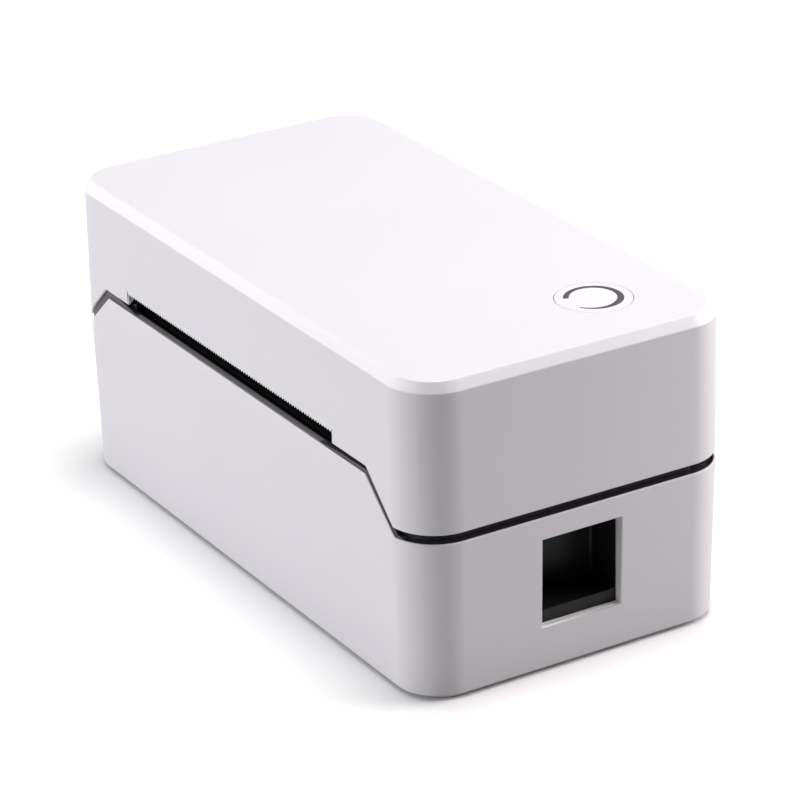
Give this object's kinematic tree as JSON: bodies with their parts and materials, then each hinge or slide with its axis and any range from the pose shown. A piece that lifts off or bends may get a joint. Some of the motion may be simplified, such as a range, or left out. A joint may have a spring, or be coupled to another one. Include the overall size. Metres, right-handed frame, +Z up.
{
  "type": "thermal label printer",
  "caption": "Compact desktop thermal label printer with a rear-hinged lid, front exit slot with tear bar, sprung printhead, geared platen roller and coupled label guides.",
  "frame": {"origin": "on the standing surface under the middle of the box", "axes": "+X along the long side towards the end with the button, +Y towards the hinge and feed slot, +Z up; labels leave towards -Y"},
  "size_m": [0.2, 0.1032, 0.0937],
  "materials": {
    "white_case": "fine satin moulded white plastic",
    "black_plastic": "matte moulded black plastic",
    "grey_plastic": "satin dark grey plastic",
    "foot_rubber": "matte soft rubber",
    "roller_rubber": "finely ground rubber",
    "zinc_steel": "zinc plated sheet and screws",
    "bright_steel": "ground steel",
    "aluminium_carrier": "extruded aluminium",
    "glazed_ceramic": "glazed ceramic with a heater line",
    "acetal": "natural acetal",
    "circuit_board": "solder-masked board",
    "mark_grey": "smooth dark grey inlay"
  },
  "bodies": {
    "base": {"base_shell": "white_case", "chassis_frame": "black_plastic", "bottom_plate": "grey_plastic", "foot_front_left": "foot_rubber", "foot_front_right": "foot_rubber", "foot_rear_left": "foot_rubber", "foot_rear_right": "foot_rubber", "case_screw_front_left": "zinc_steel", "case_screw_front_right": "zinc_steel", "case_screw_rear_left": "zinc_steel", "case_screw_rear_right": "zinc_steel", "paper_bed": "black_plastic", "exit_guide": "black_plastic", "cheek_right": "zinc_steel", "cheek_left": "zinc_steel", "platen_bush_right": "acetal", "platen_bush_left": "acetal", "motor_body": "zinc_steel", "idler_axle": "bright_steel", "main_board": "circuit_board", "rear_panel": "black_plastic", "dc_inlet": "black_plastic", "usb_port": "bright_steel", "switch_housing": "black_plastic", "gap_sensor": "grey_plastic", "recess_liner_right": "black_plastic", "recess_liner_left": "black_plastic", "latch_pin_right": "bright_steel", "latch_pin_left": "bright_steel", "latch_spring_right": "bright_steel", "latch_spring_left": "bright_steel", "hinge_pin_right": "bright_steel", "hinge_pin_left": "bright_steel"},
    "lid": {"lid_shell": "white_case", "lid_liner": "black_plastic", "tear_bar": "white_case", "head_bracket": "zinc_steel", "head_spring_1": "bright_steel", "head_spring_2": "bright_steel", "lid_screw_1": "zinc_steel", "lid_screw_2": "zinc_steel", "lid_screw_3": "zinc_steel", "lid_screw_4": "zinc_steel", "button_board": "circuit_board", "button_switch": "black_plastic"},
    "button": {"button_cap": "white_case", "button_mark": "mark_grey"},
    "printhead": {"head_heatsink": "aluminium_carrier", "head_ceramic": "glazed_ceramic"},
    "platen": {"platen_shaft": "bright_steel", "platen_roller": "roller_rubber", "platen_gear": "acetal"},
    "idler": {"idler_gear": "acetal"},
    "motor_rotor": {"motor_pinion": "bright_steel"},
    "right_guide": {"guide_right": "grey_plastic"},
    "left_guide": {"guide_left": "grey_plastic"},
    "guide_gear": {"guide_pinion": "acetal"},
    "right_latch": {"latch_lever_right": "grey_plastic"},
    "left_latch": {"latch_lever_left": "grey_plastic"},
    "rocker": {"switch_rocker": "black_plastic"}
  },
  "joints": [
    {"name": "lid_hinge", "type": "hinge", "parent": "base", "child": "lid", "pos_m": [0, 0.046, 0.0533], "axis": [-1, 0, 0], "range_deg": [0, 75]},
    {"name": "button_press", "type": "slide", "parent": "lid", "child": "button", "axis": [0, 0, -1], "range_m": [0, 0.0008], "stiffness_N_per_m": 1500, "springref_m": -0.0004},
    {"name": "printhead_float", "type": "slide", "parent": "lid", "child": "printhead", "axis": [0, 0, 1], "range_m": [0, 0.0012], "stiffness_N_per_m": 4000, "springref_m": -0.003, "deforming": ["head_spring_1", "head_spring_2"]},
    {"name": "platen_spin", "type": "hinge", "parent": "base", "child": "platen", "pos_m": [0, -0.033, 0.0522], "axis": [1, 0, 0], "continuous": true},
    {"name": "idler_spin", "type": "hinge", "parent": "base", "child": "idler", "pos_m": [0, -0.02846, 0.04023], "axis": [1, 0, 0], "continuous": true},
    {"name": "motor_spin", "type": "hinge", "parent": "base", "child": "motor_rotor", "pos_m": [0, -0.016, 0.0278], "axis": [1, 0, 0], "continuous": true},
    {"name": "guide_right_slide", "type": "slide", "parent": "base", "child": "right_guide", "axis": [1, 0, 0], "range_m": [-0.027, 0.0055]},
    {"name": "guide_left_slide", "type": "slide", "parent": "base", "child": "left_guide", "axis": [1, 0, 0], "range_m": [-0.0055, 0.027]},
    {"name": "guide_gear_spin", "type": "hinge", "parent": "base", "child": "guide_gear", "pos_m": [-0.004, 0.012, 0.046], "axis": [0, 0, 1], "range_deg": [-222, 46]},
    {"name": "latch_right_press", "type": "hinge", "parent": "base", "child": "right_latch", "pos_m": [0.079, 0, 0.0468], "axis": [0, -1, 0], "range_deg": [0, 12], "stiffness_Nm_per_rad": 0.25, "springref_deg": -11.46},
    {"name": "latch_left_press", "type": "hinge", "parent": "base", "child": "left_latch", "pos_m": [-0.079, 0, 0.0468], "axis": [0, 1, 0], "range_deg": [0, 12], "stiffness_Nm_per_rad": 0.25, "springref_deg": -11.46},
    {"name": "power_switch", "type": "hinge", "parent": "base", "child": "rocker", "pos_m": [-0.018, 0.0479, 0.0205], "axis": [1, 0, 0], "range_deg": [0, 14]}
  ],
  "couplings": [
    {"joint": "idler_spin", "follows": "platen_spin", "ratio": -1.6667},
    {"joint": "motor_spin", "follows": "platen_spin", "ratio": 4.4444},
    {"joint": "guide_left_slide", "follows": "guide_right_slide", "ratio": -1},
    {"joint": "guide_gear_spin", "follows": "guide_right_slide", "rad_per_m": 142.86}
  ]
}
